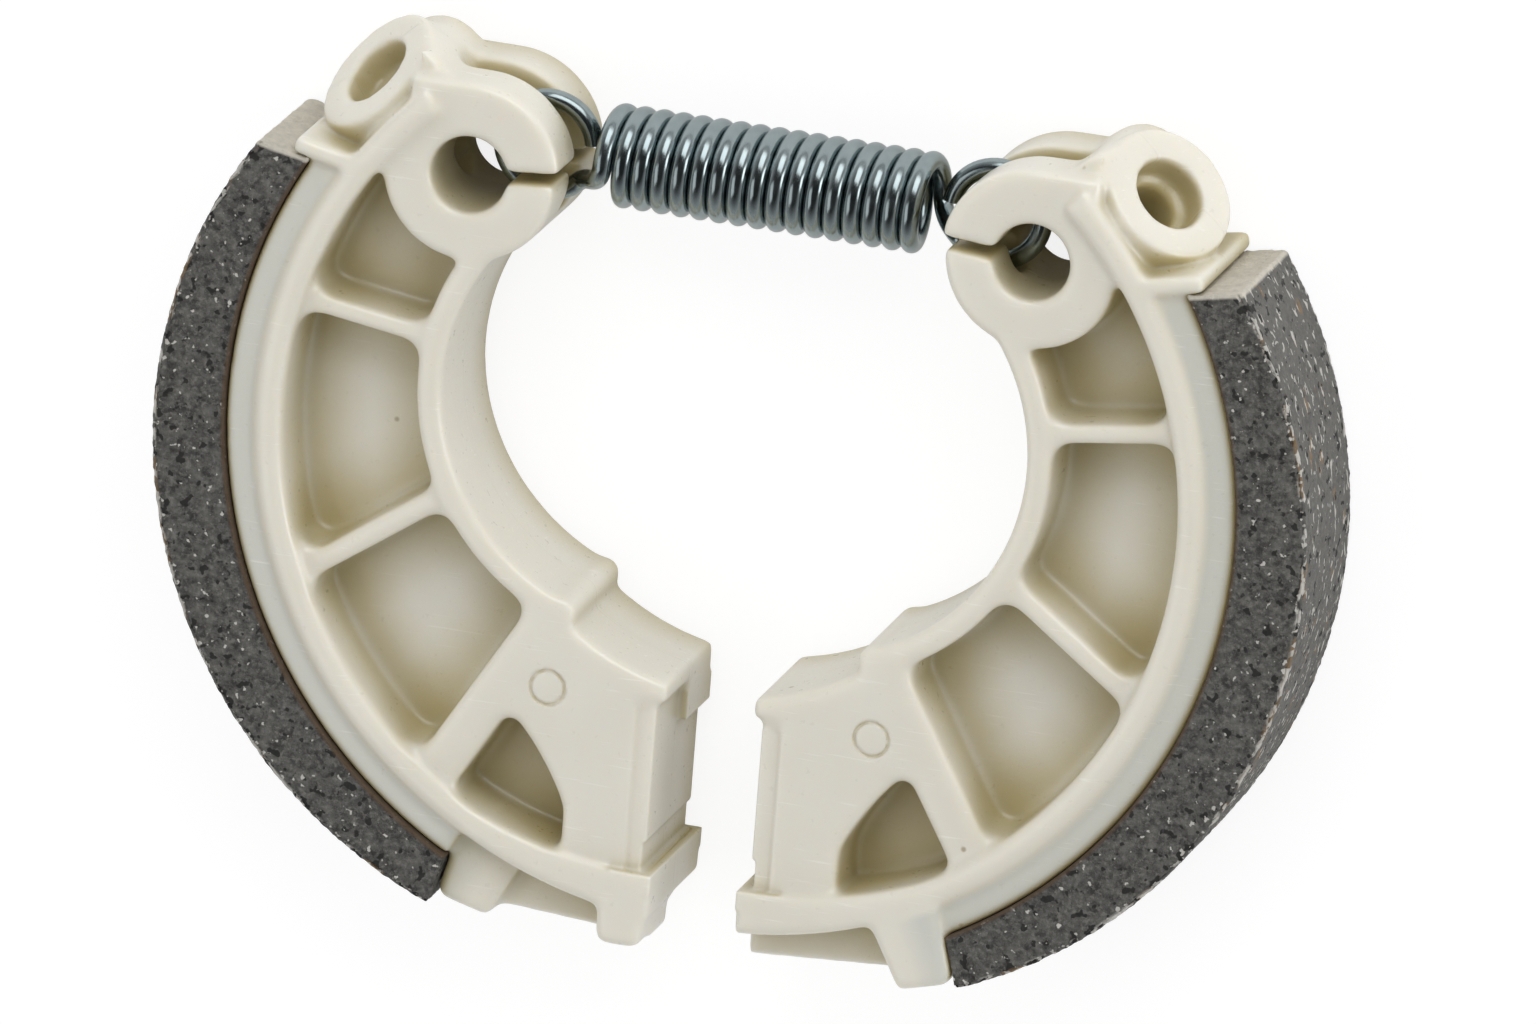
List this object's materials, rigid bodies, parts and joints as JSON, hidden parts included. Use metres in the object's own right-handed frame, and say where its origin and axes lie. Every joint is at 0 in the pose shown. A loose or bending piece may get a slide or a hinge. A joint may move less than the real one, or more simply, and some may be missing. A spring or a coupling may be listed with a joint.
{
  "type": "brake shoe",
  "caption": "Linked pair of drum brake shoes with moulded ribbed bodies and bonded friction linings, joined by a close-wound tension return spring.",
  "frame": {"origin": "middle of the pair's footprint, on the flat back faces it lies on", "axes": "+Z along the drum's axis towards the front faces, +X from the left shoe to the right shoe, +Y from the cam blocks to the spring"},
  "size_m": [0.1286, 0.0966, 0.02],
  "materials": {
    "nylon": "satin ivory moulded nylon",
    "friction_lining": "rough dark grey friction compound with pale and tan flecks",
    "zinc_steel": "bright zinc-plated spring wire"
  },
  "bodies": {
    "left": {"left_shoe": "nylon", "left_lining": "friction_lining"},
    "spring": {"return_spring": "zinc_steel"},
    "right": {"right_shoe": "nylon", "right_lining": "friction_lining"}
  },
  "joints": [
    {"name": "left_hook_pivot", "type": "hinge", "parent": "left", "child": "spring", "pos_m": [-0.02498, 0.03654, 0.01], "axis": [0, 0, 1], "range_deg": [-2.5, 10]},
    {"name": "right_hook_pivot", "type": "hinge", "parent": "spring", "child": "right", "pos_m": [0.02498, 0.03654, 0.01], "axis": [0, 0, 1], "range_deg": [-2.5, 10]}
  ]
}
